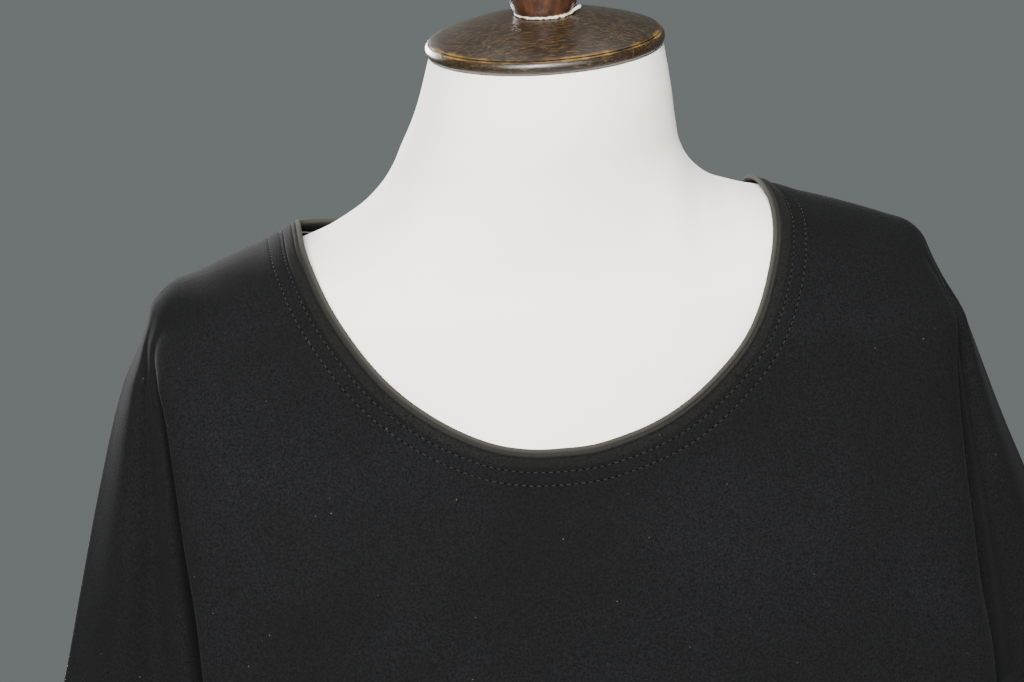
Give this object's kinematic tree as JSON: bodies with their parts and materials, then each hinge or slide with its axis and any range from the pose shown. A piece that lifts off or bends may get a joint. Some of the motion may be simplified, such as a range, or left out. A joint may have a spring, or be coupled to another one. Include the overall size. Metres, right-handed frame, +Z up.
{
  "type": "shift dress on a limbless dress form with a pole stand",
  "caption": "Loose scoop-neck shift dress with sleeves cut in one, hanging on a limbless dress form with an oval neck cap, turned finial, pole and round base.",
  "frame": {"origin": "centre of the round base's underside, on the floor", "axes": "+Z up along the pole, -Y out of the front of the dress, +X to the right of a viewer who faces the front"},
  "size_m": [0.61, 0.34, 1.607],
  "materials": {
    "jersey": "matte fine-knit jersey, near black",
    "band": "matte folded jersey band, near black",
    "cover": "smooth off-white stretch cover over a padded form",
    "dark_wood": "dark stained and varnished, rim worn lighter",
    "finial_wood": "red-brown stained and varnished",
    "painted_steel": "black satin paint"
  },
  "bodies": {
    "root": {"front_panel": "jersey", "back_panel": "jersey", "neck_band": "band", "form_body": "cover", "neck_cap": "dark_wood", "finial": "finial_wood", "pole": "painted_steel", "base": "painted_steel"}
  },
  "joints": []
}
